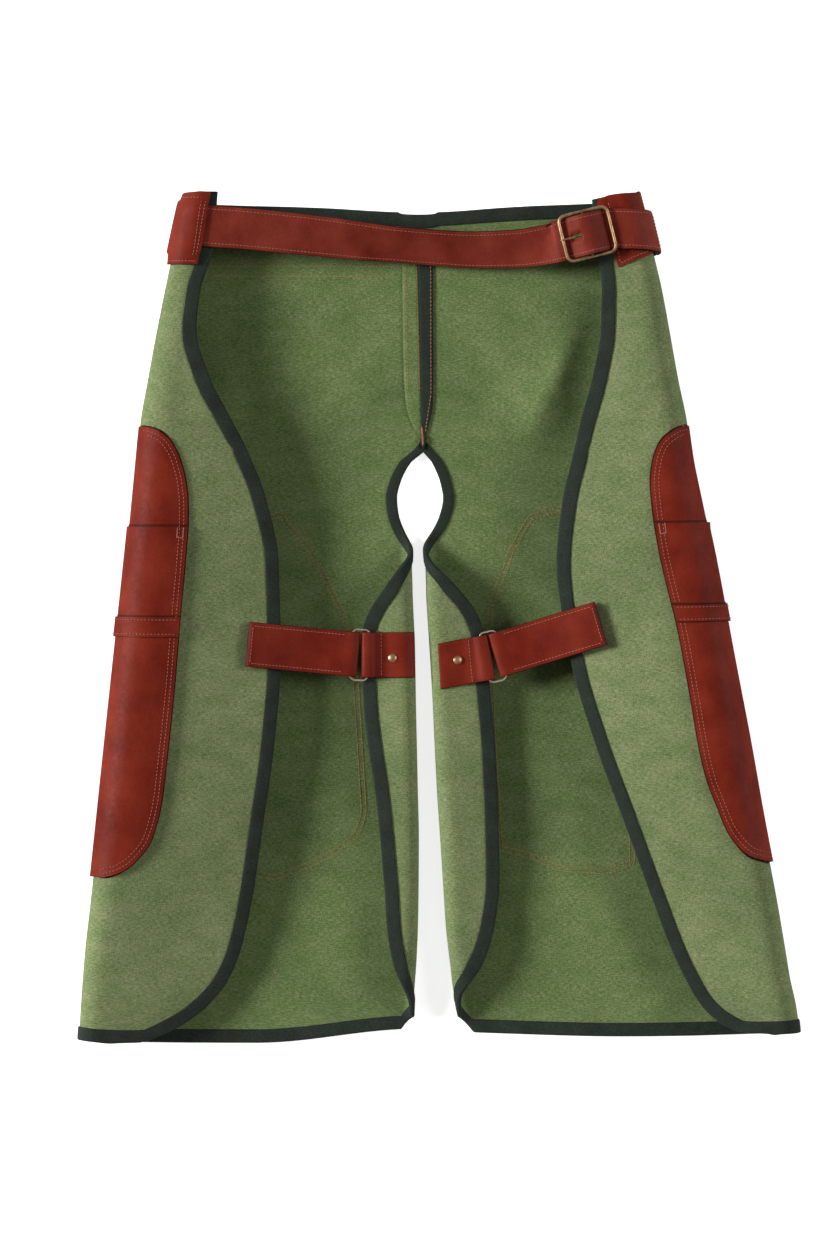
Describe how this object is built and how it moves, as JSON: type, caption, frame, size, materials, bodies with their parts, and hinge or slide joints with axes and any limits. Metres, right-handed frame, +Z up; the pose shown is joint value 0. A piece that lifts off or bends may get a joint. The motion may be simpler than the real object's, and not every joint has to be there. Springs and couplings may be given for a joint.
{
  "type": "farrier apron",
  "caption": "Farrier's apron laid open on a surface with its inside up: two canvas leg pieces joined at the waist, with leather pockets, knee patches, a buckled belt and leg straps with rings.",
  "frame": {"origin": "the middle of the bounding box, at the height of the surface that the apron lies on", "axes": "+Z up from that surface, +Y towards the waist, +X towards the leg piece that carries the buckle end of the belt"},
  "size_m": [0.6528, 0.7684, 0.0596],
  "materials": {
    "canvas_outside": "heavy waxed cotton canvas, matt green",
    "binding": "woven binding tape, near black",
    "leather": "oiled oxblood leather, semi-matt",
    "belt_leather": "oiled oxblood belt leather, semi-matt",
    "hook_tape": "black hook tape",
    "antique_brass": "antique brass",
    "nickel_brass": "pale nickel brass"
  },
  "bodies": {
    "root": {"leg_left": "canvas_outside", "edge_binding_left": "binding", "pocket_back_left": "leather", "pocket_front_left": "leather", "pocket_band_left": "leather", "knee_patch_left": "leather", "leg_strap_left": "leather", "strap_tape_left": "hook_tape", "ring_tab_left": "leather", "strap_ring_left": "nickel_brass", "ring_tab_rivet_left": "antique_brass", "hip_tab_left": "leather", "leg_right": "canvas_outside", "edge_binding_right": "binding", "pocket_back_right": "leather", "pocket_front_right": "leather", "pocket_band_right": "leather", "knee_patch_right": "leather", "leg_strap_right": "leather", "strap_tape_right": "hook_tape", "ring_tab_right": "leather", "strap_ring_right": "nickel_brass", "ring_tab_rivet_right": "antique_brass", "hip_tab_right": "leather", "waist_binding": "binding", "seam_allowance": "canvas_outside", "seam_binding": "binding", "belt_strap": "belt_leather", "buckle_frame": "antique_brass", "buckle_prong": "antique_brass"}
  },
  "joints": []
}
